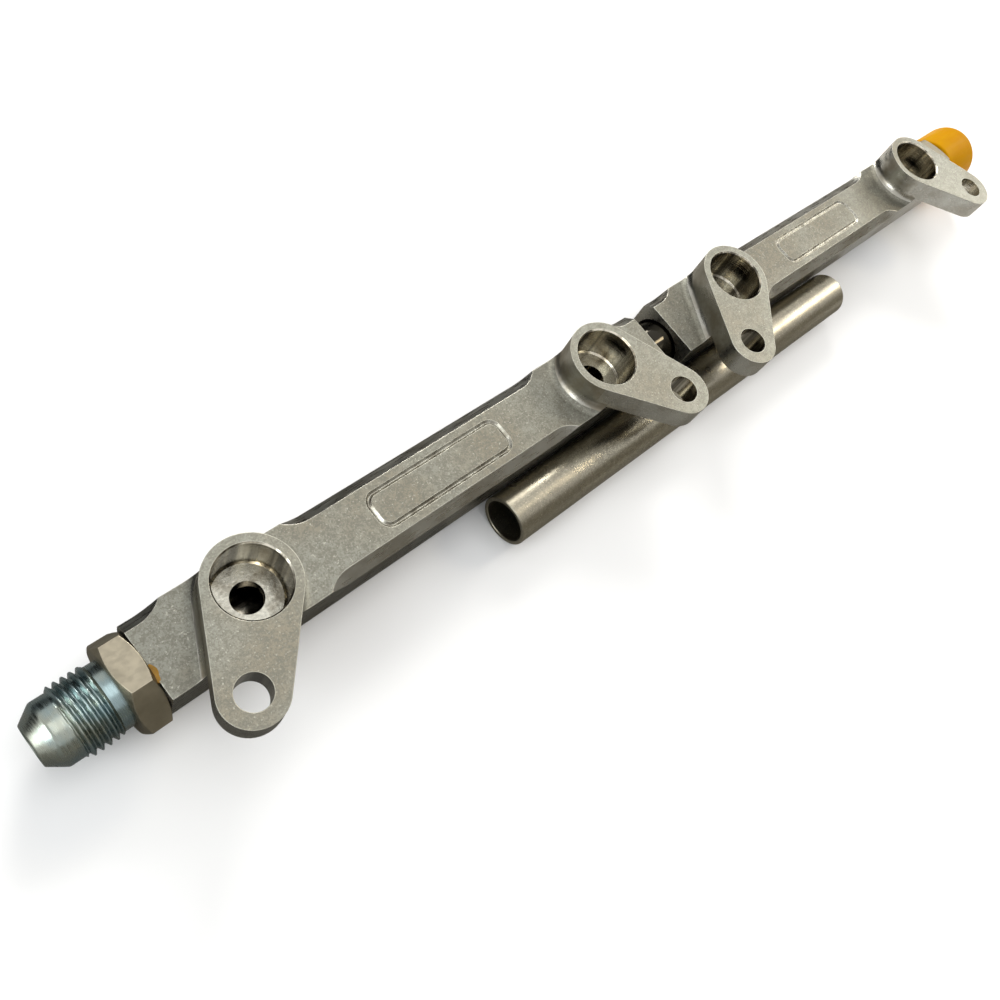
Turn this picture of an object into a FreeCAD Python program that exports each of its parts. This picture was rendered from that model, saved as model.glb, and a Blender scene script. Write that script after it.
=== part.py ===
"""Fuel rail for four injectors.

Two machined aluminium blocks stand end to end on one gallery axis. Each block
has two injector sockets in raised bosses, with a splayed bolt ear beside each
socket. A short spigot with rubber rings joins the galleries. A flare adaptor
is screwed into each outer end, over a rubber port ring, and the outlet adaptor
wears a plastic thread protector. A plain tube lies along the near side, under
the two middle ears.

X runs along the rail from the inlet to the outlet, Z points out of the
injector sockets, and the ears reach towards -Y. All lengths are millimetres.
"""
import FreeCAD
import Part
import os
from math import acos, atan2, cos, hypot, radians, sin, tan

# Sockets and the two blocks
socket_pitch = 94.0            # between the two sockets of one block
block_gap = 7.4                # open space between the blocks
outer_length = 20.55           # from a socket's axis to the block's outer end
inner_length = 21.0            # the same, to its inner end
bar_width = 16.4
bar_height = 16.0              # underside to the flat that carries the panel
boss_rise = 7.6                # from that flat to the top of bosses and ears
boss_radius = 9.0
foot_radius = 2.5              # fillet where a boss or ear stands on the flat
under_chamfer = 4.8            # along the two lower edges, at 45 degrees
edge_chamfer = 2.25            # along the upper edges, at 45 degrees
cutter_radius = 7.9            # of the chamfer cutter, at the flat
chamfer_setback = 18.2         # from a socket's axis to the cutter's stop

# Bolt ears
ear_reach = 15.9               # from a socket's axis to its bolt hole, across
ear_splay = 11.0               # the same, along the rail
ear_end_radius = 6.3
ear_thickness = 6.0
ear_hole = 6.7

# Injector sockets
socket_bore = 14.0
socket_depth = 9.0
socket_mouth_chamfer = 0.3
socket_floor_corner = 0.4      # left by the reamer, at 45 degrees
feed_hole = 6.4

# Gallery and its ports
gallery_bore = 9.0
gallery_height = 8.0           # gallery axis above the underside
port_thread = 12.0             # tapped hole for the adaptor's stub
port_depth = 12.0
port_recess = 15.0             # recess that holds the port ring
port_recess_depth = 1.2
joint_bore_depth = 12.5        # bore for one end of the spigot
joint_mouth_chamfer = 0.5

# Engraved panel border, halfway between the sockets
panel_length = 35.2            # measured on the middle of the groove
panel_width = 7.6
panel_corner = 2.4
groove_width = 1.1             # at the flat, between two sloped walls
groove_floor = 0.2
groove_depth = 0.4

# Spigot between the blocks, and its rings
spigot_diameter = 12.0
spigot_clearance = 0.1         # all round, in its bores
spigot_bore = 8.0
spigot_end_gap = 0.5
ring_setback = 4.0             # from the spigot's end to its groove's middle
ring_groove_width = 2.4
ring_groove_depth = 1.15
ring_width = 1.7
ring_clearance = 0.03

# Flare adaptors, measured outwards from the block's end
hex_flats = 17.46
hex_turn = 8.6                 # the upper flat leans this much towards +Y
hex_stand = 0.05               # block's end to the hexagon
hex_length = 5.5
hex_edge_angle = 30.0
neck_diameter = 13.2
neck_length = 2.1
thread_diameter = 14.29
thread_length = 7.1            # with the bevels at both its ends, at 45 degrees
nose_diameter = 12.7
nose_length = 2.75
flare_angle = 37.0
flare_length = 3.05
adaptor_bore = 7.2
stub_length = 10.0             # screwed into the block
stub_clearance = 0.05

# Port rings
port_ring_clearance = 0.15     # inside the recess
port_ring_bore = 12.2

# Thread protector
cap_diameter = 18.5
cap_clearance = 0.06           # round the thread and at the adaptor's tip
cap_end_wall = 1.5
cap_hex_gap = 0.4
cap_edge_bevel = 1.0

# Loose tube beside the rail
tube_diameter = 12.0
tube_wall = 1.0
tube_length = 131.5
tube_start = 57.5              # from the first socket's axis
tube_clearance = 0.1           # between the tube and the blocks

# Derived places
top_z = bar_height + boss_rise
half_width = bar_width / 2
joint_x = socket_pitch + inner_length + block_gap / 2
hex_corner = hex_flats / 2 / cos(radians(30))
AXIS_X = FreeCAD.Vector(1, 0, 0)
AXIS_Z = FreeCAD.Vector(0, 0, 1)
BLOCK_END = FreeCAD.Vector(-outer_length, 0, gallery_height)


def vec(x, y, z):
    return FreeCAD.Vector(x, y, z)


def face_of(points):
    return Part.Face(Part.makePolygon(points + [points[0]]))


def along_x(section, x0, x1):
    """Extrude a list of (y, z) points from x0 to x1."""
    return face_of([vec(x0, y, z) for y, z in section]).extrude(vec(x1 - x0, 0, 0))


def turned(profile):
    """Revolve (distance, radius) points about the gallery axis.

    Distance counts outwards from the left block's end.
    """
    points = [vec(-outer_length - u, 0, gallery_height + r) for u, r in profile]
    return face_of(points).revolve(BLOCK_END, AXIS_X, 360)


def bore_x(x0, x1, diameter):
    base = vec(x0, 0, gallery_height)
    return Part.makeCylinder(diameter / 2, x1 - x0, base, AXIS_X)


def ear_outline(side, z):
    """Face round a boss and its ear; side is -1 or +1 along X."""
    away = vec(side * ear_splay, -ear_reach, 0)
    heading = atan2(away.y, away.x)
    spread = acos((boss_radius - ear_end_radius) / hypot(away.x, away.y))

    def on_boss(angle):
        return vec(boss_radius * cos(angle), boss_radius * sin(angle), z)

    def on_ear(angle):
        x = away.x + ear_end_radius * cos(angle)
        y = away.y + ear_end_radius * sin(angle)
        return vec(x, y, z)

    first = heading + spread
    last = heading - spread
    back = heading + radians(180)
    edges = [
        Part.LineSegment(on_boss(first), on_ear(first)).toShape(),
        Part.Arc(on_ear(first), on_ear(heading), on_ear(last)).toShape(),
        Part.LineSegment(on_ear(last), on_boss(last)).toShape(),
        Part.Arc(on_boss(last), on_boss(back), on_boss(first)).toShape(),
    ]
    return Part.Face(Part.Wire(edges))


def boss_with_ear(side):
    """Boss column, ear, and the filleted foot on the bar's flat.

    The column bulges past the bar on the far side and is flush on the near one.
    """
    reach = boss_radius + foot_radius + ear_reach + ear_splay + ear_end_radius
    under = 1.0
    base_z = bar_height - under
    plate = Part.makeBox(2 * reach, 2 * reach, under, vec(-reach, -reach, base_z))
    stand = ear_outline(side, base_z).extrude(vec(0, 0, under + boss_rise))
    foot = plate.fuse(stand).removeSplitter()
    edges = []
    for edge in foot.Edges:
        box = edge.BoundBox
        level = abs(box.ZMin - bar_height) < 1e-4 and abs(box.ZMax - bar_height) < 1e-4
        inside = max(abs(box.XMin), abs(box.XMax), abs(box.YMin), abs(box.YMax)) < reach - 0.01
        if level and inside:
            edges.append(edge)
    foot = foot.makeFillet(foot_radius, edges)
    keep = Part.makeBox(2 * reach, bar_width, 2 * top_z, vec(-reach, -half_width, 0))
    foot = foot.common(keep)
    stop = outer_length - 1
    end_stop = Part.makeBox(2 * stop, bar_width, 2 * top_z, vec(-stop, -half_width, 0))
    ear = ear_outline(side, top_z - ear_thickness).extrude(vec(0, 0, ear_thickness))
    column = Part.makeCylinder(boss_radius, top_z)
    near_side = Part.makeBox(2 * reach, reach, top_z, vec(-reach, -half_width - reach, 0))
    return foot.common(end_stop).fuse([ear, column.cut(near_side)])


def chamfer_cutter(side, x0, x1, round_start, round_end):
    """Path of a 45 degree cutter along an upper edge; side -1 is the near edge."""
    lift = 0.2
    low_z = bar_height - edge_chamfer - 0.5
    high_z = bar_height + lift
    low_r = cutter_radius - edge_chamfer - 0.5
    high_r = cutter_radius + lift
    tool_y = half_width - edge_chamfer + cutter_radius
    section = [(tool_y, low_z), (tool_y - low_r, low_z), (tool_y - high_r, high_z), (tool_y, high_z)]
    cut = along_x([(side * y, z) for y, z in section], x0, x1)
    for x, wanted in ((x0, round_start), (x1, round_end)):
        if wanted:
            base = vec(x, side * tool_y, low_z)
            cut = cut.fuse(Part.makeCone(low_r, high_r, high_z - low_z, base, AXIS_Z))
    return cut


def under_cutter(side, x0, x1):
    """Wedge that takes off a lower edge of the bar and of the boss columns."""
    outside = half_width + boss_radius
    depth = under_chamfer + boss_radius
    inside = half_width - under_chamfer
    section = [(inside - 1, -1), (outside, depth), (outside, -1)]
    return along_x([(side * y, z) for y, z in section], x0, x1)


def panel_outline(extra, z):
    """Rounded rectangle about the panel's middle, grown by extra on every side."""
    radius = panel_corner + extra
    reach_x = panel_length / 2 - panel_corner
    reach_y = panel_width / 2 - panel_corner
    corners = [(reach_x, reach_y), (-reach_x, reach_y), (-reach_x, -reach_y), (reach_x, -reach_y)]

    def on_corner(index, degrees):
        x, y = corners[index % 4]
        angle = radians(90 * index + degrees)
        return vec(socket_pitch / 2 + x + radius * cos(angle), y + radius * sin(angle), z)

    edges = []
    for index in range(4):
        edges.append(Part.Arc(on_corner(index, 0), on_corner(index, 45), on_corner(index, 90)).toShape())
        edges.append(Part.LineSegment(on_corner(index, 90), on_corner(index + 1, 0)).toShape())
    return Part.Wire(edges)


def panel_groove():
    """Engraved border with two sloped walls and a narrow floor."""
    lift = 0.2
    slope = (groove_width - groove_floor) / 2 / groove_depth
    floor_z = bar_height - groove_depth

    def tapered(side):
        lower = panel_outline(side * groove_floor / 2, floor_z)
        upper = panel_outline(side * (groove_width / 2 + slope * lift), bar_height + lift)
        return Part.makeLoft([lower, upper], True, True)

    return tapered(1).cut(tapered(-1))


def socket_cut():
    """One injector socket with its mouth chamfer, floor corner and feed hole."""
    radius = socket_bore / 2
    floor_z = top_z - socket_depth
    hole = Part.makeCylinder(radius, socket_depth + 1, vec(0, 0, floor_z))
    floor_edge = [edge for edge in hole.Edges if edge.BoundBox.ZMax < floor_z + 0.01]
    hole = hole.makeChamfer(socket_floor_corner, floor_edge)
    wide = radius + socket_mouth_chamfer
    mouth = Part.makeCone(radius, wide, socket_mouth_chamfer, vec(0, 0, top_z - socket_mouth_chamfer))
    feed = Part.makeCylinder(feed_hole / 2, floor_z - gallery_height + 1, vec(0, 0, gallery_height))
    return hole.fuse([mouth, feed])


def rail_block():
    """The left block: port at its outer end, spigot bore at its inner end."""
    left = -outer_length
    right = socket_pitch + inner_length
    bar = Part.makeBox(right - left, bar_width, bar_height, vec(left, -half_width, 0))
    first = chamfer_setback
    last = socket_pitch - chamfer_setback
    near_end = boss_with_ear(-1)
    far_end = boss_with_ear(1)
    far_end.translate(vec(socket_pitch, 0, 0))
    block = bar.fuse([near_end, far_end]).removeSplitter()
    block = block.cut([
        chamfer_cutter(-1, first, last, True, True),
        chamfer_cutter(1, first, last, True, True),
        chamfer_cutter(1, left - 1, -chamfer_setback, False, True),
        chamfer_cutter(1, socket_pitch + chamfer_setback, right + 1, True, False),
        under_cutter(-1, left - 1, right + 1),
        under_cutter(1, left - 1, right + 1),
    ])

    joint_start = right - joint_bore_depth
    joint_diameter = spigot_diameter + 2 * spigot_clearance
    mouth = Part.makeCone(
        joint_diameter / 2, joint_diameter / 2 + joint_mouth_chamfer, joint_mouth_chamfer,
        vec(right - joint_mouth_chamfer, 0, gallery_height), AXIS_X)
    cuts = [
        bore_x(left - 1, right + 1, gallery_bore),
        bore_x(left - 1, left + port_recess_depth, port_recess),
        bore_x(left - 1, left + port_depth, port_thread),
        bore_x(joint_start, right + 1, joint_diameter),
        mouth,
    ]
    for x, side in ((0, -1), (socket_pitch, 1)):
        pocket = socket_cut()
        pocket.translate(vec(x, 0, 0))
        hole_base = vec(x + side * ear_splay, -ear_reach, top_z - ear_thickness - 1)
        cuts.append(pocket)
        cuts.append(Part.makeCylinder(ear_hole / 2, ear_thickness + 2, hole_base))
    block = block.cut(cuts)
    groove = panel_groove()
    return block.cut(groove)


def squeezed_ring(start, width, inner, outer):
    """Rubber ring pressed square in its groove."""
    return turned([(start, inner), (start + width, inner), (start + width, outer), (start, outer)])


def flare_adaptor():
    """Hexagon, neck, thread, nose and 37 degree flare on one axis."""
    hex_end = hex_stand + hex_length
    thread_start = hex_end + neck_length
    thread_end = thread_start + thread_length
    flare_start = thread_end + nose_length
    tip = flare_start + flare_length
    stub_r = port_thread / 2 - stub_clearance
    thread_r = thread_diameter / 2
    neck_r = neck_diameter / 2
    nose_r = nose_diameter / 2
    tip_r = nose_r - flare_length * tan(radians(flare_angle))
    bore_r = adaptor_bore / 2
    body = turned([
        (-stub_length, bore_r),
        (-stub_length, stub_r),
        (hex_end, stub_r),
        (hex_end, neck_r),
        (thread_start, neck_r),
        (thread_start + thread_r - neck_r, thread_r),
        (thread_end - thread_r + nose_r, thread_r),
        (thread_end, nose_r),
        (flare_start, nose_r),
        (tip, tip_r),
        (tip, bore_r),
    ])
    corners = []
    for index in range(6):
        angle = radians(30 - hex_turn + 60 * index)
        corners.append((-hex_corner * sin(angle), gallery_height + hex_corner * cos(angle)))
    hexagon = along_x(corners, -outer_length - hex_end, -outer_length - hex_stand)
    slope = (hex_corner - hex_flats / 2 + 0.1) * tan(radians(hex_edge_angle))
    rim = hex_corner + 0.01
    shape = turned([
        (hex_stand, 0),
        (hex_stand, hex_flats / 2 - 0.1),
        (hex_stand + slope, rim),
        (hex_end - slope, rim),
        (hex_end, hex_flats / 2 - 0.1),
        (hex_end, 0),
    ])
    hexagon = hexagon.common(shape)
    hexagon = hexagon.cut(bore_x(-outer_length - hex_end - 1, -outer_length, adaptor_bore))
    return body.fuse(hexagon).removeSplitter(), tip


def thread_cap(tip):
    """Cup pushed over the thread, as far as the adaptor's tip."""
    start = hex_stand + hex_length + cap_hex_gap
    inner_end = tip + cap_clearance
    end = inner_end + cap_end_wall
    inner = thread_diameter / 2 + cap_clearance
    base = vec(-outer_length - end, 0, gallery_height)
    shell = Part.makeCylinder(cap_diameter / 2, end - start, base, AXIS_X)
    closed = [edge for edge in shell.Edges if edge.BoundBox.XMax < base.x + 0.01]
    shell = shell.makeChamfer(cap_edge_bevel, closed)
    return shell.cut(bore_x(-outer_length - inner_end, -outer_length - start + 1, 2 * inner))


def spigot():
    """Short tube across the joint, with a groove for a ring near each end."""
    half = block_gap / 2 + joint_bore_depth - spigot_end_gap
    radius = spigot_diameter / 2
    length = 2 * half
    tube = Part.makeCylinder(radius, length, vec(joint_x - half, 0, gallery_height), AXIS_X)
    tube = tube.cut(bore_x(joint_x - half - 1, joint_x + half + 1, spigot_bore))
    floor = spigot_diameter - 2 * ring_groove_depth
    for side in (-1, 1):
        middle = joint_x + side * (half - ring_setback)
        low = middle - ring_groove_width / 2
        high = middle + ring_groove_width / 2
        band = bore_x(low, high, spigot_diameter + 2).cut(bore_x(low - 1, high + 1, floor))
        tube = tube.cut(band)
    return tube, half


def spigot_ring(half):
    """Squeezed rubber ring in the spigot's left groove."""
    inner = spigot_diameter / 2 - ring_groove_depth + ring_clearance
    outer = spigot_diameter / 2 + spigot_clearance - ring_clearance
    middle = joint_x - half + ring_setback
    start = -outer_length - middle - ring_width / 2
    return squeezed_ring(start, ring_width, inner, outer)


def port_ring():
    """Rubber ring between the hexagon and the floor of the port's recess."""
    outer = port_recess / 2 - port_ring_clearance
    width = hex_stand + port_recess_depth
    return squeezed_ring(-port_recess_depth, width, port_ring_bore / 2, outer)


def side_tube(floor_z):
    radius = tube_diameter / 2
    base = vec(tube_start, -half_width - tube_clearance - radius, floor_z + radius)
    outer = Part.makeCylinder(radius, tube_length, base, AXIS_X)
    return outer.cut(Part.makeCylinder(radius - tube_wall, tube_length, base, AXIS_X))


def other_side(shape):
    """Mirror a shape of the left half across the joint."""
    return shape.mirror(vec(joint_x, 0, 0), AXIS_X)


block = rail_block()
adaptor, tip = flare_adaptor()
seal = port_ring()
joiner, joiner_half = spigot()
joiner_ring = spigot_ring(joiner_half)

# The rail lies on a corner of each hexagon, or on the cap where that is larger
lean = min(abs(30 - hex_turn + 60 * index - 180) for index in range(6))
floor_z = gallery_height - max(hex_corner * cos(radians(lean)), cap_diameter / 2)

nodes = {
    "front_rail_block": block,
    "rear_rail_block": other_side(block),
    "joiner_tube": joiner,
    "joiner_ring_1": joiner_ring,
    "joiner_ring_2": other_side(joiner_ring),
    "inlet_adaptor": adaptor,
    "inlet_port_ring": seal,
    "outlet_adaptor": other_side(adaptor),
    "outlet_port_ring": other_side(seal),
    "thread_protector_cap": other_side(thread_cap(tip)),
    "side_tube": side_tube(floor_z),
}

# The origin goes to the middle of the bounding box, on the surface it lies on
whole = Part.makeCompound(list(nodes.values())).optimalBoundingBox(False, False)
shift = vec(-whole.Center.x, -whole.Center.y, -floor_z)

os.makedirs("parts", exist_ok=True)
for name, shape in nodes.items():
    placed = shape.copy()
    placed.translate(shift)
    solids = placed.Solids
    assert len(solids) == 1 and solids[0].isValid(), name
    solids[0].exportStep("parts/" + name + ".step")
    box = solids[0].optimalBoundingBox(False, False)
    print(
        f"{name:22s} X {box.XMin:9.3f} {box.XMax:9.3f}  Y {box.YMin:8.3f} {box.YMax:8.3f}"
        f"  Z {box.ZMin:7.3f} {box.ZMax:7.3f}  volume {solids[0].Volume:9.1f}")
print(f"first socket axis at X {shift.x:.4f}, Y {shift.y:.4f}; top at Z {top_z + shift.z:.4f}")
print(f"gallery axis at Z {gallery_height + shift.z:.4f}, joint at X {joint_x + shift.x:.4f}")
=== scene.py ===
# %% [markdown]
# # A machined aluminium fuel rail
#
# Two aluminium blocks stand end to end. A plated adaptor is screwed into each
# outer end, an amber plastic cap covers the right one, and a plain steel tube
# lies along the near side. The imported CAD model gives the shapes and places, so
# this script only dresses it: finer edges, a real thread, and the finishes.

# %% Load the frame
from math import cos, hypot, pi, radians, sin, tan

import bmesh
import bpy
from mathutils import Matrix, Vector


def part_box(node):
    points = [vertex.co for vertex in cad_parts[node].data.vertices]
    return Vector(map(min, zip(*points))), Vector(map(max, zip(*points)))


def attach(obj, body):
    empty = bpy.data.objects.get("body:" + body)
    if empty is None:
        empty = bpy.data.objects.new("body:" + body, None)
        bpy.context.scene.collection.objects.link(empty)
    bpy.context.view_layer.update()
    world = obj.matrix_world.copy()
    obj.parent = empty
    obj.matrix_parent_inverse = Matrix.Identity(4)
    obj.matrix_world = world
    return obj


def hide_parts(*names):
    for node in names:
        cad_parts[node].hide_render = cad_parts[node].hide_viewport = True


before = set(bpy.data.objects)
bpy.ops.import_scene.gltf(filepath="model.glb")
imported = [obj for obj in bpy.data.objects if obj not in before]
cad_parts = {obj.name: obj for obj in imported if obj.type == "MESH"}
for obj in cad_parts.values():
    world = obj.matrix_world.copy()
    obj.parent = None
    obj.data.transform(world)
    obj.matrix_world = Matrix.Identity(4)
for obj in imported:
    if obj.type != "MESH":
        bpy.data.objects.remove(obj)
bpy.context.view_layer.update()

MM = 0.001

# %% [markdown]
# ## The camera
#
# The photograph was taken from close by, looking down along the rail from the
# inlet's side, so near things look much larger than far ones. A camera can be
# placed by eye, but here its place comes from lining up the sockets and ears of
# both blocks, and a matrix built from three directions puts it there exactly.

# %% Camera
scene = bpy.context.scene
camera_data = bpy.data.cameras.new("camera")
camera = bpy.data.objects.new("camera", camera_data)
scene.collection.objects.link(camera)
camera_place = Vector((-166.934, -30.929, 183.464)) * MM
to_right = Vector((0.70576, -0.62546, 0.33272)).normalized()
forward = Vector((0.51433, 0.12938, -0.84778)).normalized()
to_top = to_right.cross(forward).normalized()
turn = Matrix((to_right, to_top, -forward)).transposed()
camera.matrix_world = Matrix.Translation(camera_place) @ turn.to_4x4()
frame_pixels = 1000
focal_pixels = 952.785
camera_data.sensor_width = 36.0
camera_data.sensor_fit = "HORIZONTAL"
camera_data.lens = camera_data.sensor_width * focal_pixels / frame_pixels
camera_data.clip_start = 0.01
scene.camera = camera
print("camera lens in mm:", round(camera_data.lens, 2))

# %% [markdown]
# ## Node helpers
#
# Materials and the world are trees of small nodes. They can be wired by hand in
# the shader editor, but in a script the same few kinds come back again and
# again: a sum, a noise, a ramp and a mix. A short function for each keeps the
# finishes below readable.


# %% Node helpers
def rgb(red, green, blue, level=1.0):
    """Opaque colour; level makes all three parts darker or brighter."""
    return (level * red, level * green, level * blue, 1.0)


def feed(tree, value, socket):
    """Link an output socket to an input, or put a number or a colour into it."""
    if isinstance(value, bpy.types.NodeSocket):
        tree.links.new(value, socket)
    else:
        socket.default_value = value


def add_math(tree, operation, first, second):
    """Math node; each value is a number or an output socket."""
    node = tree.nodes.new("ShaderNodeMath")
    node.operation = operation
    feed(tree, first, node.inputs[0])
    feed(tree, second, node.inputs[1])
    return node.outputs[0]


def add_vector_math(tree, operation, first, second=None):
    """Vector Math node fed by output sockets."""
    node = tree.nodes.new("ShaderNodeVectorMath")
    node.operation = operation
    tree.links.new(first, node.inputs[0])
    if second is not None:
        tree.links.new(second, node.inputs[1])
    return node


def add_noise(tree, vector, scale, detail, rough):
    """Noise from 0 to 1 that mostly stays near 0.5."""
    node = tree.nodes.new("ShaderNodeTexNoise")
    node.inputs["Detail"].default_value = detail
    node.inputs["Roughness"].default_value = rough
    tree.links.new(vector, node.inputs["Vector"])
    feed(tree, scale, node.inputs["Scale"])
    return node.outputs["Fac"]


def add_ramp(tree, value, low, high):
    """Map value from low..high to 0..1, smoothly and clamped."""
    node = tree.nodes.new("ShaderNodeMapRange")
    node.interpolation_type = "SMOOTHSTEP"
    tree.links.new(value, node.inputs["Value"])
    node.inputs["From Min"].default_value = low
    node.inputs["From Max"].default_value = high
    return node.outputs["Result"]


def add_mix(tree, factor, first, second):
    """Mix two colours; each is a colour value or an output socket."""
    node = tree.nodes.new("ShaderNodeMix")
    node.data_type = "RGBA"
    tree.links.new(factor, node.inputs["Factor"])
    color_sockets = [socket for socket in node.inputs if socket.type == "RGBA"]
    for value, socket in zip((first, second), color_sockets):
        feed(tree, value, socket)
    return next(socket for socket in node.outputs if socket.type == "RGBA")


def mix_shaders(tree, factor, first, second, target):
    """Blend two shaders and send the result to the target socket."""
    node = tree.nodes.new("ShaderNodeMixShader")
    tree.links.new(factor, node.inputs["Fac"])
    tree.links.new(first, node.inputs[1])
    tree.links.new(second, node.inputs[2])
    tree.links.new(node.outputs[0], target)


# %% [markdown]
# ## Studio
#
# Bare metal shows its surroundings more than its own colour. The photograph has
# a white background, so the floor is white and the world is white for the
# camera and for everything that metal or plastic mirrors. A brighter lamp could
# whiten the floor too, but it would bleach the metal. Light Path tells the rays
# apart, so only what is seen or mirrored gets white, and the light stays soft.

# %% World and view
scene.view_settings.view_transform = "Standard"
world = bpy.data.worlds.new("white_studio")
world.use_nodes = True
scene.world = world
tree = world.node_tree
tree.nodes.clear()


def add_background(tree, grey):
    """World shader of one even grey."""
    node = tree.nodes.new("ShaderNodeBackground")
    node.inputs["Color"].default_value = rgb(grey, grey, grey)
    return node.outputs[0]


lighting_grey, seen_white = 0.62, 1.0
path = tree.nodes.new("ShaderNodeLightPath")
seen = add_math(tree, "MAXIMUM", path.outputs["Is Camera Ray"], path.outputs["Is Glossy Ray"])
seen = add_math(tree, "MAXIMUM", seen, path.outputs["Is Transmission Ray"])
out = tree.nodes.new("ShaderNodeOutputWorld")
mix_shaders(
    tree, seen, add_background(tree, lighting_grey), add_background(tree, seen_white), out.inputs["Surface"])
print("world:", world.name, "with", len(tree.nodes), "nodes")

# %% [markdown]
# The floor is a large sheet of paper. Felt mats and cards, such as a
# photographer puts round shiny things, give the chamfers and walls their dark
# side. Dark paint on the metal would do that in one view only. The mats and
# cards are seen in reflections alone, so the floor stays white.


# %% Floor and cards
def plain_material(name, color, roughness):
    """Principled material of one colour."""
    material = bpy.data.materials.new(name)
    material.use_nodes = True
    shader = material.node_tree.nodes["Principled BSDF"]
    shader.inputs["Base Color"].default_value = color
    shader.inputs["Roughness"].default_value = roughness
    return material


def sheet_object(name, x_range, low_edge, high_edge, material):
    """Flat sheet between two edges along X; each edge is (y, z), all in millimetres."""
    (x0, x1), (y0, z0), (y1, z1) = x_range, low_edge, high_edge
    corners = [(x0, y0, z0), (x1, y0, z0), (x1, y1, z1), (x0, y1, z1)]
    mesh = bpy.data.meshes.new(name)
    mesh.from_pydata([[v * MM for v in corner] for corner in corners], [], [(0, 1, 2, 3)])
    sheet = bpy.data.objects.new(name, mesh)
    scene.collection.objects.link(sheet)
    sheet.data.materials.append(material)
    return sheet


white_paper = plain_material("white_paper", rgb(0.86, 0.86, 0.86), 0.9)
grey_felt = plain_material("grey_felt", rgb(0.17, 0.168, 0.158), 0.9)
light_felt = plain_material("light_felt", rgb(0.34, 0.33, 0.305), 0.9)
black_card = plain_material("black_card", rgb(0.015, 0.016, 0.015), 0.8)
brown_card = plain_material("brown_card", rgb(0.22, 0.205, 0.175), 0.8)
floor_z, mat_z = -0.05, -0.02
floor = sheet_object("floor", (-4000, 4000), (-4000, floor_z), (4000, floor_z), white_paper)
cards = [
    sheet_object("left_mat", (-480, -70), (-360, mat_z), (420, mat_z), grey_felt),
    sheet_object("right_mat", (-70, 95), (-360, mat_z), (420, mat_z), light_felt),
    sheet_object("far_card", (-260, 360), (52, 0), (60, 36), black_card),
    sheet_object("near_card", (-260, 360), (-66, 0), (-74, 60), brown_card),
]
for card in cards:
    card.visible_camera = False
    card.visible_diffuse = False
    card.visible_shadow = False
    card.visible_transmission = False
print("floor, mats and cards:", [floor.name, *(card.name for card in cards)])

# %% [markdown]
# Paper under a lamp is bright close by and grey far away, and a low view would
# show that as a grey band. A curved backdrop would hide it. Here the floor turns
# to plain white with distance instead, for the camera only, and keeps its shadow
# near the object.

# %% White with distance
fade_start, fade_end = 0.26, 0.55
tree = floor.data.materials[0].node_tree
place = tree.nodes.new("ShaderNodeTexCoord").outputs["Object"]
distance = add_vector_math(tree, "LENGTH", place).outputs["Value"]
is_camera_ray = tree.nodes.new("ShaderNodeLightPath").outputs["Is Camera Ray"]
fade = add_math(tree, "MULTIPLY", add_ramp(tree, distance, fade_start, fade_end), is_camera_ray)
paper = tree.nodes["Principled BSDF"].outputs[0]
plain_white = tree.nodes.new("ShaderNodeEmission").outputs[0]
mix_shaders(tree, fade, paper, plain_white, tree.nodes["Material Output"].inputs["Surface"])
print("floor turns white from", fade_start, "to", fade_end, "m")

# %% [markdown]
# A softbox is a lamp behind white cloth, and metal mirrors its square face. Point
# lamps would give hard sparks. So every lamp is a square area light: a strong
# one behind, a cool one at the left, weaker ones above and at the right, and a
# small warm one whose mirror image draws the thin streaks in bores and on the
# tube.


# %% Lamps
def soft_lamp(name, place, aim, size, power, color=(1.0, 1.0, 1.0)):
    """Square softbox; place and aim in millimetres, size in metres."""
    light = bpy.data.lights.new(name, "AREA")
    light.color = color
    light.shape = "SQUARE"
    light.size = size
    light.energy = power
    lamp = bpy.data.objects.new(name, light)
    lamp.location = Vector(place) * MM
    heading = (Vector(aim) - Vector(place)).normalized()
    lamp.rotation_euler = heading.to_track_quat("-Z", "Y").to_euler()
    scene.collection.objects.link(lamp)
    return lamp


rail_middle = (0, 0, 10)
lamps = [
    soft_lamp("back_softbox", (560, 760, 560), rail_middle, 0.44, 8.0, (1.0, 0.98, 0.94)),
    soft_lamp("left_softbox", (-820, 60, 430), rail_middle, 0.50, 3.5, (0.94, 0.985, 1.0)),
    soft_lamp("top_softbox", (60, 0, 900), rail_middle, 0.6, 1.6),
    soft_lamp("right_softbox", (900, -20, 520), (60, 0, 10), 0.30, 2.1, (1.0, 0.98, 0.95)),
    soft_lamp("streak_lamp", (700, -140, 640), rail_middle, 0.15, 1.3, (1.0, 0.88, 0.68)),
]
print("lamps:", [lamp.name for lamp in lamps])

# %% [markdown]
# ## Shared effects
#
# Most finishes here need the same few things: specks from tumbling, thin marks
# from a cutter, soft stains from handling, and bright edges, partly from rubbing
# and partly painted highlight. Each is a node group with named inputs, so every
# material can use it with its own values. A group only puts out colours, masks
# and heights. The shader stays in the material. Copies of one noise would do the
# same job, but a group is mended in one place.


# %% Group helper
VECTOR, NUMBER, COLOR = "NodeSocketVector", "NodeSocketFloat", "NodeSocketColor"


def new_group(name, inputs, outputs):
    """Node group with typed, named sockets; returns the tree and its two end nodes."""
    tree = bpy.data.node_groups.new(name, "ShaderNodeTree")
    for label, kind, value in inputs:
        socket = tree.interface.new_socket(name=label, in_out="INPUT", socket_type=kind)
        if value is not None:
            socket.default_value = value
    for label, kind in outputs:
        tree.interface.new_socket(name=label, in_out="OUTPUT", socket_type=kind)
    return tree, tree.nodes.new("NodeGroupInput"), tree.nodes.new("NodeGroupOutput")


# %% [markdown]
# Blocks like these are tumbled with small stones after milling, which leaves a
# matte skin of fine dark and light specks. A picture of such metal would have to
# be mapped onto every face. Three noises of different scales give the same grain
# on any shape, and two of them also serve as a height for the bump.

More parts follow.
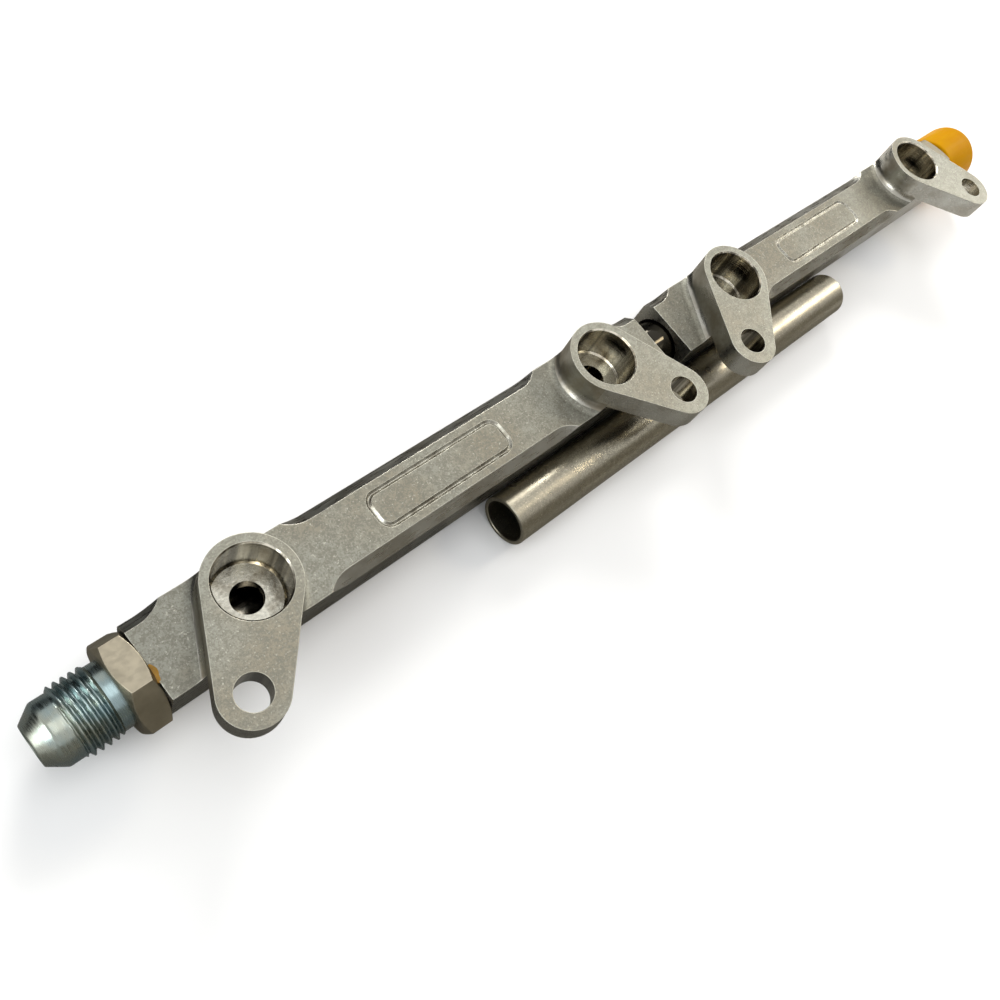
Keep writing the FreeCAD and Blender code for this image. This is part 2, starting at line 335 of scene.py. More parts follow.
# %% Tumbled specks
specks, group_in, group_out = new_group(
    "tumbled_specks",
    [("Vector", VECTOR, None), ("Grain Scale", NUMBER, 1500.0), ("Base", COLOR, rgb(0.4, 0.4, 0.37)),
     ("Dark", COLOR, rgb(0.3, 0.3, 0.28)), ("Bright", COLOR, rgb(0.6, 0.6, 0.57))],
    [("Color", COLOR), ("Height", NUMBER)])
place = group_in.outputs["Vector"]
grain_scale = group_in.outputs["Grain Scale"]
coarse_scale = add_math(specks, "MULTIPLY", grain_scale, 0.28)
fleck_scale = add_math(specks, "MULTIPLY", grain_scale, 0.9)
fine = add_noise(specks, place, grain_scale, detail=4.0, rough=0.75)
coarse = add_noise(specks, place, coarse_scale, detail=4.0, rough=0.7)
flecks = add_noise(specks, place, fleck_scale, detail=2.0, rough=0.6)
fine_part = add_math(specks, "MULTIPLY", fine, 0.6)
coarse_part = add_math(specks, "MULTIPLY", coarse, 0.4)
dark_mask = add_ramp(specks, add_math(specks, "ADD", fine_part, coarse_part), 0.56, 0.44)
fleck_mask = add_ramp(specks, flecks, 0.58, 0.80)
body_color = add_mix(specks, dark_mask, group_in.outputs["Base"], group_in.outputs["Dark"])
fleck_color = add_mix(specks, fleck_mask, body_color, group_in.outputs["Bright"])
height = add_math(specks, "ADD", fine, add_math(specks, "MULTIPLY", coarse, 1.2))
specks.links.new(fleck_color, group_out.inputs["Color"])
specks.links.new(height, group_out.inputs["Height"])
print("group", specks.name, "has", len(specks.nodes), "nodes")

# %% [markdown]
# A cutter or a drawing die leaves thin parallel marks. Modelled scratches would
# need far too many faces. Noise becomes such marks when its space is stretched:
# where the stretch value of a direction is small, every mark grows long that way.
# The bores also use this group for wide upright bands of painted reflection.

# %% Cutter marks, also used for bands of painted reflection
marks, group_in, group_out = new_group(
    "cutter_marks_and_painted_bands",
    [("Vector", VECTOR, None), ("Stretch", VECTOR, (1.0, 1.0, 1.0)), ("Fineness", NUMBER, 900.0)],
    [("Height", NUMBER), ("Mask", NUMBER)])
stretched = add_vector_math(marks, "MULTIPLY", group_in.outputs["Vector"], group_in.outputs["Stretch"])
lines = add_noise(marks, stretched.outputs["Vector"], group_in.outputs["Fineness"], detail=3.0, rough=0.6)
marks.links.new(lines, group_out.inputs["Height"])
marks.links.new(add_ramp(marks, lines, 0.35, 0.65), group_out.inputs["Mask"])
print("group", marks.name, "has", len(marks.nodes), "nodes")

# %% [markdown]
# Handled metal is never one even colour: oil and air darken it in soft patches.
# One flat colour would look like paint. A slow noise mixes a clean and a stained
# colour, and its mask goes out too, because stained patches are also duller.

# %% Handling stains
stains, group_in, group_out = new_group(
    "handling_stains",
    [("Vector", VECTOR, None), ("Patch Scale", NUMBER, 60.0), ("Clean", COLOR, rgb(0.5, 0.5, 0.5)),
     ("Stained", COLOR, rgb(0.4, 0.35, 0.3))],
    [("Color", COLOR), ("Mask", NUMBER)])
place, patch_scale = group_in.outputs["Vector"], group_in.outputs["Patch Scale"]
stained_mask = add_ramp(stains, add_noise(stains, place, patch_scale, detail=4.0, rough=0.6), 0.40, 0.68)
stain_color = add_mix(stains, stained_mask, group_in.outputs["Clean"], group_in.outputs["Stained"])
stains.links.new(stain_color, group_out.inputs["Color"])
stains.links.new(stained_mask, group_out.inputs["Mask"])
print("group", stains.name, "has", len(stains.nodes), "nodes")

# %% [markdown]
# Edges that rub against gloves, trays and tools turn bright, and the same
# brightening also paints the thin highlight that sharp edges catch. A Bevel node
# bends the normal near a sharp edge only, so how far it bends tells where the
# edges are. Vertex paint could mark them too, but it needs a much finer mesh.

# %% Rubbed edges and painted edge highlight
wear_highlight_group, group_in, group_out = new_group(
    "edge_wear_and_highlight",
    [("Vector", VECTOR, None), ("Radius", NUMBER, 0.0003), ("Patch Scale", NUMBER, 160.0)],
    [("Mask", NUMBER)])
rounded_edge = wear_highlight_group.nodes.new("ShaderNodeBevel")
rounded_edge.samples = 4
wear_highlight_group.links.new(group_in.outputs["Radius"], rounded_edge.inputs["Radius"])
true_normal = wear_highlight_group.nodes.new("ShaderNodeNewGeometry").outputs["Normal"]
agreement = add_vector_math(wear_highlight_group, "DOT_PRODUCT", rounded_edge.outputs["Normal"], true_normal)
bend = add_math(wear_highlight_group, "SUBTRACT", 1.0, agreement.outputs["Value"])
place, patch_scale = group_in.outputs["Vector"], group_in.outputs["Patch Scale"]
wear_highlight_patches = add_ramp(wear_highlight_group, add_noise(wear_highlight_group, place, patch_scale, detail=3.0, rough=0.6), 0.22, 0.52)
wear_highlight_mask = add_math(wear_highlight_group, "MULTIPLY", add_ramp(wear_highlight_group, bend, 0.004, 0.05), wear_highlight_patches)
wear_highlight_group.links.new(wear_highlight_mask, group_out.inputs["Mask"])
print("group", wear_highlight_group.name, "has", len(wear_highlight_group.nodes), "nodes")

# %% [markdown]
# ## Finishes
#
# On the real rail each finish was made by one tool or process, so here each is
# one material, but for a darker copy of the tumbled finish that paints shade on
# the lower level faces. A single material with many masks could hold them all,
# but it would be hard to read. All of them start with handling stains, and in
# most a Bump node adds relief that is too fine for a mesh.


# %% Material helpers
def add_group(tree, group, vector, **values):
    """Place a shared effect in a material and set its named inputs."""
    node = tree.nodes.new("ShaderNodeGroup")
    node.node_tree = group
    tree.links.new(vector, node.inputs["Vector"])
    for label, value in values.items():
        node.inputs[label.replace("_", " ")].default_value = value
    return node


def start_material(name, metallic, patch_scale, clean, stained, **values):
    """Stained Principled material; returns the parts that a finish adds to."""
    material = bpy.data.materials.new(name)
    material.use_nodes = True
    tree = material.node_tree
    shader = tree.nodes["Principled BSDF"]
    shader.inputs["Metallic"].default_value = metallic
    for label, value in values.items():
        shader.inputs[label.replace("_", " ")].default_value = value
    position = tree.nodes.new("ShaderNodeTexCoord").outputs["Object"]
    stain = add_group(tree, stains, position, Patch_Scale=patch_scale, Clean=clean, Stained=stained)
    tree.links.new(stain.outputs["Color"], shader.inputs["Base Color"])
    return material, tree, shader, position, stain


def set_roughness(tree, shader, mask, low, high):
    """Let the roughness go from low to high as the mask goes from 0 to 1."""
    node = tree.nodes.new("ShaderNodeMapRange")
    node.inputs["To Min"].default_value = low
    node.inputs["To Max"].default_value = high
    tree.links.new(mask, node.inputs["Value"])
    tree.links.new(node.outputs["Result"], shader.inputs["Roughness"])


def add_bump(tree, shader, height, distance, strength, edge_mm=0.0):
    """Relief for the shader; edge_mm also rounds sharp edges in the render."""
    bump = tree.nodes.new("ShaderNodeBump")
    if edge_mm:
        soft_edge = tree.nodes.new("ShaderNodeBevel")
        soft_edge.samples = 4
        soft_edge.inputs["Radius"].default_value = edge_mm * MM
        tree.links.new(soft_edge.outputs["Normal"], bump.inputs["Normal"])
    bump.inputs["Strength"].default_value = strength
    bump.inputs["Distance"].default_value = distance
    tree.links.new(height, bump.inputs["Height"])
    tree.links.new(bump.outputs["Normal"], shader.inputs["Normal"])


def add_marks(tree, shader, position, stretch, fineness, distance, strength, edge_mm=0.0):
    """Cutter marks in low relief; returns their mask."""
    mark = add_group(tree, marks, position, Stretch=stretch, Fineness=fineness)
    add_bump(tree, shader, mark.outputs["Height"], distance, strength, edge_mm)
    return mark.outputs["Mask"]


def add_wear_and_highlight(tree, shader, position, color, worn_highlight_color, radius):
    """Paint a brighter colour along the sharp edges, for rubbing and painted highlight."""
    edge_brightening = add_group(tree, wear_highlight_group, position, Radius=radius)
    tree.links.new(add_mix(tree, edge_brightening.outputs["Mask"], color, worn_highlight_color), shader.inputs["Base Color"])


block_edge, fine_edge = 0.22, 0.06
print("rounded edges in mm: blocks", block_edge, "and bored or engraved places", fine_edge)

# %% [markdown]
# The blocks were milled and then tumbled. Faces that the stones reach are matte
# and speckled. The long flats lie lower than the tops of bosses and ears, and a
# darker copy of the same finish paints shade on them, so one function makes both
# materials and a level sets them apart.


# %% Tumbled aluminium
def tumbled_finish(name, level):
    """Matte speckled aluminium with edges brightened by rubbing and painted highlight; level scales its
    colours, and below 1 paints shade.
    """
    material, tree, shader, position, stain = start_material(
        name, 1.0, 45.0, rgb(0.242, 0.242, 0.206, level), rgb(0.232, 0.212, 0.165, level))
    speck = add_group(
        tree, specks, position, Grain_Scale=2400.0,
        Dark=rgb(0.175, 0.17, 0.14, level), Bright=rgb(0.43, 0.42, 0.36, level))
    tree.links.new(stain.outputs["Color"], speck.inputs["Base"])
    # Brighter sharp edges: rubbing and painted highlight.
    add_wear_and_highlight(tree, shader, position, speck.outputs["Color"], rgb(0.50, 0.49, 0.42), 0.00028)
    set_roughness(tree, shader, stain.outputs["Mask"], 0.46, 0.56)
    add_bump(tree, shader, speck.outputs["Height"], 0.00006, 0.9, block_edge)
    return material


tumbled = tumbled_finish("tumbled_aluminium", 1.0)
# Darker copy of the same finish: painted shade on the long flats.
tumbled_flat_painted_shade = tumbled_finish("tumbled_flat_aluminium_painted_shade", 0.86)
print("finishes:", tumbled.name, tumbled_flat_painted_shade.name)

# %% [markdown]
# The walls and feet of the bosses keep a half polish from a round-nosed cutter,
# in soft waves. The bar's sides and chamfers were cut along the bar, so their
# marks are long in X. Plain metal flashes white where it is seen edge-on. A
# darker specular tint prevents that, and lower light would dull all the rest.

# %% Milled walls and sides
milled, tree, shader, position, stain = start_material(
    "milled_aluminium", 1.0, 120.0, rgb(0.40, 0.39, 0.345), rgb(0.25, 0.225, 0.175),
    Specular_Tint=rgb(0.8, 0.78, 0.75))
add_marks(tree, shader, position, (0.5, 0.5, 1.2), 300.0, 0.0002, 0.9, block_edge)
set_roughness(tree, shader, stain.outputs["Mask"], 0.26, 0.42)

sides, tree, shader, position, stain = start_material(
    "side_aluminium", 1.0, 80.0, rgb(0.40, 0.395, 0.36), rgb(0.29, 0.275, 0.235),
    Specular_Tint=rgb(0.6, 0.58, 0.55))
mark_mask = add_marks(tree, shader, position, (0.12, 1.0, 1.0), 1800.0, 0.00003, 0.8, block_edge)
# Brighter sharp edges: rubbing and painted highlight.
add_wear_and_highlight(tree, shader, position, stain.outputs["Color"], rgb(0.62, 0.60, 0.53), 0.00024)
set_roughness(tree, shader, mark_mask, 0.26, 0.38)
print("finishes:", milled.name, sides.name)

# %% [markdown]
# The sockets are bored, which leaves bright walls with fine turning rings round
# them. Their dark upright bands are mirror images of a dim room, too fine to
# stage with cards, so wide upright bands of painted reflection darken the
# colour. Socket seats and the engraved border are cut too, but with a duller tool.

# %% Bored and dull cut aluminium
bored, tree, shader, position, stain = start_material(
    "bored_aluminium", 1.0, 150.0, rgb(0.74, 0.70, 0.59), rgb(0.50, 0.44, 0.33))
ring_mask = add_marks(tree, shader, position, (0.06, 0.06, 3.0), 1200.0, 0.00004, 0.8, fine_edge)
# Dark upright bands mixed into the colour: painted reflection of a dim room.
painted_reflection_band = add_group(tree, marks, position, Stretch=(1.0, 1.0, 0.04), Fineness=330.0)
painted_reflection_color = add_mix(tree, painted_reflection_band.outputs["Mask"], stain.outputs["Color"], rgb(0.10, 0.09, 0.07))
tree.links.new(painted_reflection_color, shader.inputs["Base Color"])
set_roughness(tree, shader, ring_mask, 0.10, 0.20)

dull_cut, tree, shader, position, stain = start_material(
    "dull_cut_aluminium", 1.0, 300.0, rgb(0.37, 0.36, 0.31), rgb(0.19, 0.175, 0.14))
mark_mask = add_marks(tree, shader, position, (1.0, 1.0, 1.0), 1500.0, 0.00005, 0.8, fine_edge)
set_roughness(tree, shader, mark_mask, 0.20, 0.36)
print("finishes:", bored.name, dull_cut.name)

# %% [markdown]
# The adaptors are steel under a thin zinc plating, bluish on the turned parts
# and satin and warmer on the hexagon, whose faces are those of the rolled bar. A
# coat on top of the shader could show the plating. It is so thin that it only
# tints, so a tinted metal is enough. Turning marks run round the X axis, so Y
# and Z are stretched there.

# %% Plated steel
plated, tree, shader, position, stain = start_material(
    "zinc_plated_steel", 1.0, 90.0, rgb(0.25, 0.325, 0.335), rgb(0.33, 0.345, 0.29))
mark_mask = add_marks(tree, shader, position, (1.0, 0.1, 0.1), 2500.0, 0.00002, 0.6)
set_roughness(tree, shader, mark_mask, 0.20, 0.33)

hex_plated, tree, shader, position, stain = start_material(
    "satin_plated_steel", 1.0, 110.0, rgb(0.35, 0.312, 0.235), rgb(0.27, 0.242, 0.18),
    Specular_Tint=rgb(0.6, 0.58, 0.55))
mark_mask = add_marks(tree, shader, position, (0.6, 1.0, 1.0), 1100.0, 0.00004, 0.6)
set_roughness(tree, shader, mark_mask, 0.30, 0.44)
print("finishes:", plated.name, hex_plated.name)

# %% [markdown]
# The side tube is drawn steel, slightly grainy, so it takes the same specks as
# the blocks with warmer colours and a finer grain. The spigot between the blocks
# is polished, but it sits in the dark of the joint, so its colours are near black:
# painted shade.

# %% Tube steel and polished spigot
tube_steel, tree, shader, position, stain = start_material(
    "drawn_steel", 1.0, 40.0, rgb(0.35, 0.325, 0.255), rgb(0.30, 0.275, 0.215),
    Specular_Tint=rgb(0.7, 0.68, 0.65))
speck = add_group(
    tree, specks, position, Grain_Scale=3200.0, Dark=rgb(0.255, 0.235, 0.185), Bright=rgb(0.60, 0.55, 0.43))
tree.links.new(stain.outputs["Color"], speck.inputs["Base"])
tree.links.new(speck.outputs["Color"], shader.inputs["Base Color"])
set_roughness(tree, shader, stain.outputs["Mask"], 0.25, 0.34)
add_bump(tree, shader, speck.outputs["Height"], 0.00003, 0.9)

# Near black colours on polished metal: painted shade of the joint.
spigot_painted_shade, tree, shader, position, stain = start_material(
    "polished_aluminium_painted_shade", 1.0, 90.0, rgb(0.040, 0.036, 0.028), rgb(0.028, 0.025, 0.019))
set_roughness(tree, shader, stain.outputs["Mask"], 0.08, 0.15)
print("finishes:", tube_steel.name, spigot_painted_shade.name)

# %% [markdown]
# The cap is soft amber plastic. Light enters it a little way and comes out
# again, which Subsurface gives, and a low specular level keeps it waxy. Glassy
# transmission would look like hard resin. The rubber rings are only darker.

# %% Plastic and rubber
amber, tree, shader, position, stain = start_material(
    "amber_polyethylene", 0.0, 55.0, rgb(0.47, 0.222, 0.0), rgb(0.43, 0.19, 0.0),
    Subsurface_Weight=0.2, Subsurface_Scale=0.0015, Specular_IOR_Level=0.02)
mark_mask = add_marks(tree, shader, position, (0.08, 1.0, 1.0), 900.0, 0.00005, 0.5)
set_roughness(tree, shader, mark_mask, 0.36, 0.50)

ring_rubber, tree, shader, position, stain = start_material(
    "amber_rubber", 0.0, 160.0, rgb(0.32, 0.17, 0.025), rgb(0.15, 0.085, 0.015), Specular_IOR_Level=0.15)
set_roughness(tree, shader, stain.outputs["Mask"], 0.30, 0.5)

black_rubber, tree, shader, position, stain = start_material(
    "black_rubber", 0.0, 160.0, rgb(0.02, 0.02, 0.02), rgb(0.035, 0.035, 0.033))
set_roughness(tree, shader, stain.outputs["Mask"], 0.42, 0.6)
print("finishes:", amber.name, ring_rubber.name, black_rubber.name)

# %% [markdown]
# ## Blocks
#
# The CAD solids already have the right shape, but their edges are knife sharp
# and their curved faces are made of flats. Real edges are slightly broken, and
# that thin line of light is what makes metal look solid. So each block is a copy
# of its CAD mesh: the flat faces are merged again and the rest is shaded smooth.
# The block materials round the sharp edges with a Bevel node, which costs no
# faces, and the two tubes, whose rims show, get a Bevel modifier instead.


# %% Copy a CAD piece
copy_sharp_angle = 30.0
flat_angle = 0.6
same_place = 0.002 * MM


def shade_smooth(work, angle):
    """Shade faces smooth and keep edges sharper than angle, in degrees, hard."""
    for face in work.faces:
        face.smooth = True
    for edge in work.edges:
        edge.smooth = edge.calc_face_angle(0.0) < radians(angle)


def place_object(name, mesh):
    """Put a mesh into the scene as an object."""
    piece = bpy.data.objects.new(name, mesh)
    scene.collection.objects.link(piece)
    return piece


def finer_copy(node, name):
    """Copy a CAD node's mesh, merge its flat faces and smooth its curved ones."""
    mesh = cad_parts[node].data.copy()
    mesh.materials.clear()
    mesh.name = name
    work = bmesh.new()
    work.from_mesh(mesh)
    bmesh.ops.remove_doubles(work, verts=work.verts, dist=same_place)
    bmesh.ops.dissolve_limit(
        work, angle_limit=radians(flat_angle), use_dissolve_boundaries=False,
        verts=work.verts, edges=work.edges)
    shade_smooth(work, copy_sharp_angle)
    work.to_mesh(mesh)
    work.free()
    return place_object(name, mesh)


def dress(piece, materials, node=None):
    """Give a piece its materials, hide the CAD node it stands for, and attach it to the root body."""
    for material in materials:
        piece.data.materials.append(material)
    if node:
        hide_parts(node)
    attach(piece, "root")


block_finishes = (tumbled, milled, sides, bored, dull_cut, tumbled_flat_painted_shade)
blocks = []
for node, name in (("front_rail_block", "front_block_dressed"), ("rear_rail_block", "rear_block_dressed")):
    block = finer_copy(node, name)
    dress(block, block_finishes, node)
    blocks.append(block)
    print(name, "has", len(block.data.polygons), "faces")

# %% [markdown]
# Now each face gets its finish. In the editor this is done by selecting faces.
# A script can tell them from where they are and which way they look: level faces
# are tumbled, upright ones along the bar are sides, and what lies inside a
# socket, a hole or the gallery is bored.

# %% Where things are on the blocks
front_low, front_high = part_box("front_rail_block")
rear_low, rear_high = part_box("rear_rail_block")
ring_low, ring_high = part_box("inlet_port_ring")
axis_y = (ring_low.y + ring_high.y) / 2
axis_z = (ring_low.z + ring_high.z) / 2
top_z = front_high.z
flat_z = axis_z + 8 * MM
outer_length, inner_length = 20.55 * MM, 21 * MM
socket_x = [front_low.x + outer_length, front_high.x - inner_length,
            rear_low.x + inner_length, rear_high.x - outer_length]
hole_along, hole_across = 11 * MM, 15.9 * MM
hole_x = [x + way * hole_along for x, way in zip(socket_x, (-1, 1, -1, 1))]
hole_y = axis_y - hole_across
side_y = axis_y - 8.2 * MM
print("sockets at X in mm:", [round(x / MM, 2) for x in socket_x])

# %% Give each block face its finish
TUMBLED, MILLED, SIDE, BORED, DULL_CUT, SHADED_FLAT = range(6)
socket_reach, hole_reach, gallery_reach = 7.45 * MM, 3.6 * MM, 6.2 * MM
border_half_width, border_from_socket = 4.8 * MM, 12 * MM
border_top, border_floor = 0.02 * MM, 0.45 * MM
just_below_top = top_z - 0.05 * MM
level_normal, floor_normal, end_normal, upright_normal = 0.8, 0.98, 0.9, 0.5


def face_finish(middle, normal):
    """Finish of a face, from its middle and the way it looks."""
    from_gallery = hypot(middle.y - axis_y, middle.z - axis_z)
    if from_gallery < gallery_reach and abs(normal.x) < end_normal:
        return BORED
    from_socket = min(hypot(middle.x - x, middle.y - axis_y) for x in socket_x)
    from_hole = min(hypot(middle.x - x, middle.y - hole_y) for x in hole_x)
    if (from_socket < socket_reach or from_hole < hole_reach) and middle.z < just_below_top:
        return DULL_CUT if normal.z > floor_normal else BORED
    in_border = border_top < flat_z - middle.z < border_floor and abs(middle.y - axis_y) < border_half_width
    if in_border and from_socket > border_from_socket:
        return DULL_CUT
    if abs(normal.z) > level_normal:
        # Level faces below the boss and ear tops get the painted shade copy.
        return TUMBLED if middle.z > flat_z + 1 * MM else SHADED_FLAT
    if middle.z < flat_z or (middle.y < side_y and abs(normal.z) < upright_normal):
        return SIDE
    return MILLED


for block in blocks:
    counts = [0] * len(block_finishes)
    for face in block.data.polygons:
        face.material_index = face_finish(face.center, face.normal)
        counts[face.material_index] += 1
    print(block.name, "faces by finish:", counts)

# %% [markdown]
# ## Round pieces
#
# Adaptors, cap and rings are turned or moulded round, so each is a profile of
# distances and radii spun about the gallery axis. Blender's Screw modifier could
# do this, but a few lines of mesh code give full control of every ring.


# %% Spin a profile
def axis_point(x, radius, angle):
    """Point at a radius in millimetres and an angle round the gallery axis."""
    return x, axis_y + radius * MM * cos(angle), axis_z + radius * MM * sin(angle)


def ring_faces(rings, steps, closed=True):
    """Faces between rings of points; an open skin gets a flat disc at each end."""
    faces = []
    for ring in range(rings if closed else rings - 1):
        here, after = ring * steps, (ring + 1) % rings * steps
        for step in range(steps):
            side = (step + 1) % steps
            faces.append((here + step, here + side, after + side, after + step))
    if not closed:
        last = (rings - 1) * steps
        faces.append(tuple(range(steps)))
        faces.append(tuple(range(last, last + steps)))
    return faces


def make_piece(name, vertices, faces, angle=32.0):
    """Object from points and faces, smooth but for edges sharper than angle."""
    mesh = bpy.data.meshes.new(name)
    mesh.from_pydata(vertices, [], faces)
    work = bmesh.new()
    work.from_mesh(mesh)
    bmesh.ops.recalc_face_normals(work, faces=work.faces)
    shade_smooth(work, angle)
    work.to_mesh(mesh)
    work.free()
    return place_object(name, mesh)


def spin(name, profile, base_x, steps, closed=True):
    """Spin (distance, radius) points, in millimetres, about the gallery axis."""
    vertices = [axis_point(base_x + distance * MM, radius, 2 * pi * step / steps)
                for distance, radius in profile for step in range(steps)]
    return make_piece(name, vertices, ring_faces(len(profile), steps, closed))


def rounded(profile, radius, steps, closed=True):
    """Round the corners of a profile, but not the two ends of an open one."""
    longest_share = 0.45
    smooth = []
    count = len(profile)
    for index, corner in enumerate(profile):
        if not closed and index in (0, count - 1):
            smooth.append(corner)
            continue
        here = Vector(corner)
        back = Vector(profile[index - 1]) - here
        ahead = Vector(profile[(index + 1) % count]) - here
        reach = min(radius, back.length * longest_share, ahead.length * longest_share)
        start, end = here + back.normalized() * reach, here + ahead.normalized() * reach
        for step in range(steps + 1):
            t = step / steps
            smooth.append(tuple(start * (1 - t) ** 2 + here * 2 * t * (1 - t) + end * t * t))
    return smooth


print("gallery axis in mm: Y", round(axis_y / MM, 3), "Z", round(axis_z / MM, 3))

# %% [markdown]
# The adaptor's thread is the detail that the eye looks for. Its pitch is 18 to
# the inch. A bump could fake it, but not its toothed outline. Here each point of
# a fine grid is pushed in or out by how far it is round and along the thread.
# That gives one true spiral ridge, which fades into the neck at one end and is
# bevelled at the other.

# %% Adaptor sizes
tip, stub_start = 20.55, -10.0
hex_start, hex_end = 0.05, 5.55
neck_end, thread_end, nose_end = 7.65, 14.75, 17.5
bore_r, stub_r, neck_r, crest_r, nose_r, core_r = 3.6, 5.95, 6.6, 7.145, 6.35, 6.27
flare = tan(radians(37))
tip_r = nose_r - (tip - nose_end) * flare
pitch = 25.4 / 18
thread_depth = 0.613 * pitch
root_share, flank_share = 0.14, 0.70
runout, runout_start = 0.9, 0.1


def thread_radius(distance, angle, spiral):
    """Radius of the thread's surface at a distance along and an angle round it."""
    phase = (distance / pitch - spiral * angle / (2 * pi)) % 1.0
    rise = abs(phase - 0.5) * 2
    ridge = min(1.0, max(0.0, (rise - root_share) / flank_share))
    groove = thread_depth * (1 - ridge) * min(1.0, (distance - neck_end) / runout + runout_start)
    bevelled = min(neck_r + distance - neck_end, nose_r + thread_end - distance)
    return min(crest_r - groove, max(bevelled, core_r))


print("thread pitch and depth in mm:", round(pitch, 3), round(thread_depth, 3))

# %% [markdown]
# The turned part of the adaptor is one closed skin: out of the port, over the
# neck and thread, down the flare and back through the bore. Separate meshes for
# thread and flare would leave a seam where they meet. Pairs of points close to a
# corner keep its shading crisp.


# %% Adaptor body
def adaptor_body(name, base_x, direction, steps=144):
    """Stub, neck, thread, nose and flare in one skin, with the bore."""
    lead = [
        (stub_start, bore_r), (stub_start, stub_r - 0.4), (stub_start + 0.4, stub_r),
        (hex_end - 0.2, stub_r), (hex_end - 0.2, neck_r), (neck_end - 1.2, neck_r),
        (neck_end - 0.12, neck_r)]
    rows = 88
    thread = [(neck_end + (thread_end - neck_end) * row / rows, None) for row in range(rows + 1)]
    tail = [
        (thread_end + 0.06, nose_r), (thread_end + 0.5, nose_r), (nose_end - 0.35, nose_r),
        (nose_end - 0.1, nose_r - 0.02), (nose_end + 0.14, nose_r - 0.13),
        (nose_end + 0.5, nose_r - 0.5 * flare), (tip - 0.3, tip_r + 0.3 * flare),
        (tip - 0.05, tip_r + 0.01), (tip, tip_r - 0.08), (tip, bore_r + 0.12),
        (tip - 0.12, bore_r), (tip - 6.0, bore_r)]
    profile = lead + thread + tail
    vertices = []
    for distance, radius in profile:
        for step in range(steps):
            angle = 2 * pi * step / steps
            r = thread_radius(distance, angle, direction) if radius is None else radius
            vertices.append(axis_point(base_x + direction * distance * MM, r, angle))
    return make_piece(name, vertices, ring_faces(len(profile), steps), 38.0)


# %% [markdown]
# A real hexagon is turned at both ends after it is cut, so a cone takes off its
# corners and leaves a curved line on each face. A six-sided cylinder with a
# bevel has straight lines there and looks wrong. Here every point between two
# corners gets the depth at which the cone meets it.


# %% Hexagon
def break_edges(piece, width_mm, angle):
    """Bevel the edges that are sharper than angle, in degrees."""
    bevel = piece.modifiers.new("broken_edges", "BEVEL")
    bevel.width = width_mm * MM
    bevel.segments = 2
    bevel.limit_method = "ANGLE"
    bevel.angle_limit = radians(angle)
    bevel.harden_normals = True


half_flats = 17.46 / 2
tightened_turn = radians(8.6)
cone_slope = tan(radians(30))
hex_sharp_angle = 20.0


def hexagon_section(local):
    """(distance, radius) points of the collar at an angle from a face's middle."""
    face_r = half_flats - 0.1
    inner_r = stub_r + 0.04
    corner_r = half_flats / cos(local)
    depth = max(0.0, (corner_r - face_r) * cone_slope)
    first, last = hex_start + 0.03, hex_end - 0.03
    return [
        (hex_start, inner_r), (hex_start, face_r - 0.15), (first, face_r), (first + depth, corner_r),
        (last - depth, corner_r), (last, face_r), (hex_end, face_r - 0.15), (hex_end, inner_r)]


def hexagon(name, base_x, direction, per_side=14):
    """Nut-like collar whose bevelled corners curve as on a turned bar."""
    rows = [[] for _ in hexagon_section(0.0)]
    for step in range(per_side * 6):
        local = ((step % per_side) / per_side - 0.5) * pi / 3
        angle = (step // per_side) * pi / 3 + local + pi / 2 - tightened_turn
        for row, (distance, radius) in zip(rows, hexagon_section(local)):
            row.append(axis_point(base_x + direction * distance * MM, radius, angle))
    vertices = [point for row in rows for point in row]
    piece = make_piece(name, vertices, ring_faces(len(rows), per_side * 6), hex_sharp_angle)
    break_edges(piece, 0.10, hex_sharp_angle)
    return piece


inlet_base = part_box("inlet_adaptor")[0].x + tip * MM
outlet_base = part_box("outlet_adaptor")[1].x - tip * MM
for node, base, way in (("inlet_adaptor", inlet_base, -1), ("outlet_adaptor", outlet_base, 1)):
    body = adaptor_body(node + "_threaded", base, way)
    dress(body, [plated], node)
    collar = hexagon(node + "_hexagon", base, way)
    dress(collar, [hex_plated])
    print(node, "base at", round(base / MM, 2), "faces", len(body.data.polygons))

# %% [markdown]
# The amber cap is a moulded cup with a softly rounded rim, and the rings are
# moulded rubber. A torus would be quick for a ring, but the CAD rings are
# squarish, as pressed rings are, so each is spun from a rounded square.

# %% Cap
cap_low, cap_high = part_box("thread_protector_cap")
cap_length = (cap_high.x - cap_low.x) / MM
cap_r, cap_bore_r, cap_disc_r, cap_end = 9.25, 7.21, 1.0, 1.5
cap_profile = rounded([
    (cap_length - cap_end, cap_disc_r), (cap_length - cap_end, cap_bore_r), (0, cap_bore_r),
    (0, cap_r), (cap_length, cap_r), (cap_length, cap_disc_r)], 1.0, 5, closed=False)
cap = spin("amber_thread_cap", cap_profile, cap_low.x, 96, closed=False)
dress(cap, [amber], "thread_protector_cap")
print("cap length in mm:", round(cap_length, 2))


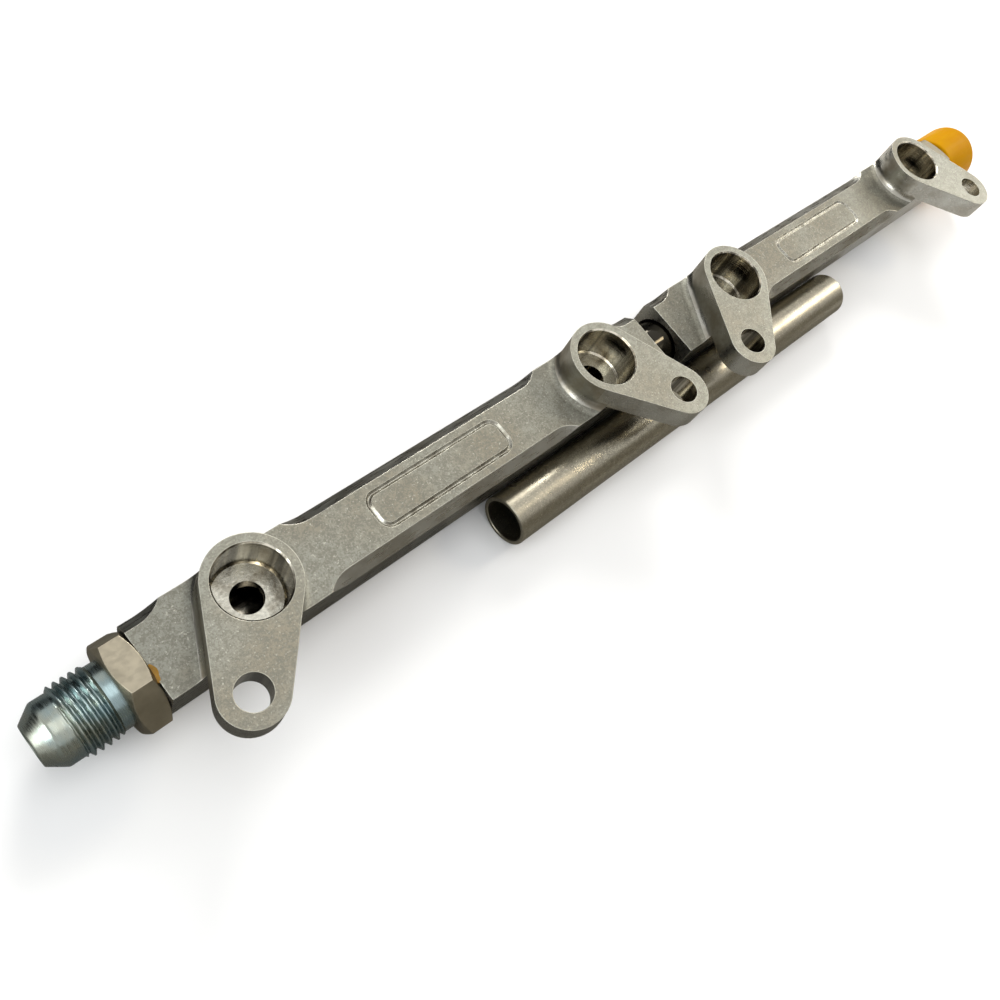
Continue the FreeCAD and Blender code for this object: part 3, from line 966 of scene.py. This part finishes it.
# %% Port rings
def rounded_ring(node, inner_r, corner, steps):
    """Soft ring in the place and width of a CAD ring."""
    low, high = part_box(node)
    width, outer_r = (high.x - low.x) / MM, (high.y - low.y) / 2 / MM
    section = [(0, inner_r), (0, outer_r), (width, outer_r), (width, inner_r)]
    return spin(node + "_rounded", rounded(section, corner, 4), low.x, steps)


for node in ("inlet_port_ring", "outlet_port_ring"):
    ring = rounded_ring(node, 6.1, 0.6, 96)
    dress(ring, [ring_rubber], node)
    print(ring.name, "has", len(ring.data.polygons), "faces")

# %% [markdown]
# Behind the hexagon a little of the amber seal has squeezed out onto the block's
# upper face. It could be sculpted. A flattened ball, pushed in and out by two
# slow waves, is enough for such a small soft lump.


# %% Squeezed seal
def squeezed_lump(name, center, size, across=40, around=48):
    """Low soft lump; center in metres, size is its half lengths in millimetres."""
    vertices = []
    for row in range(1, across):
        tilt = pi * row / across
        for step in range(around):
            angle = 2 * pi * step / around
            wave = 1 + 0.10 * sin(3 * angle + 0.7) + 0.07 * cos(5 * angle)
            vertices.append((
                center[0] + size[0] * MM * sin(tilt) * cos(angle) * wave,
                center[1] + size[1] * MM * sin(tilt) * sin(angle) * wave,
                center[2] + size[2] * MM * cos(tilt)))
    return make_piece(name, vertices, ring_faces(across - 1, around, closed=False), 60.0)


lump_place = (front_low.x + 0.1 * MM, axis_y - 2.4 * MM, flat_z - 0.14 * MM)
lump = squeezed_lump("squeezed_amber_seal", lump_place, (0.85, 2.1, 0.24))
dress(lump, [ring_rubber])
print("lump has", len(lump.data.polygons), "faces")

# %% [markdown]
# ## Tubes
#
# The side tube is a plain length cut from stock, and a short polished spigot
# with two black rings joins the blocks. New cylinders could be made for both.
# Copies of the CAD meshes already have the right bores and grooves, so they only
# need broken edges on their rims.

# %% Tube, spigot and its rings
for node, width_mm, slot, material in (
        ("side_tube", 0.28, "tube_steel", tube_steel), ("joiner_tube", 0.12, "spigot_aluminium", spigot_painted_shade)):
    tube = finer_copy(node, node + "_dressed")
    break_edges(tube, width_mm, copy_sharp_angle)
    dress(tube, [material], node)
    print(tube.name, "has", len(tube.data.polygons), "faces")
for node in ("joiner_ring_1", "joiner_ring_2"):
    dress(rounded_ring(node, 4.88, 0.5, 72), [black_rubber], node)
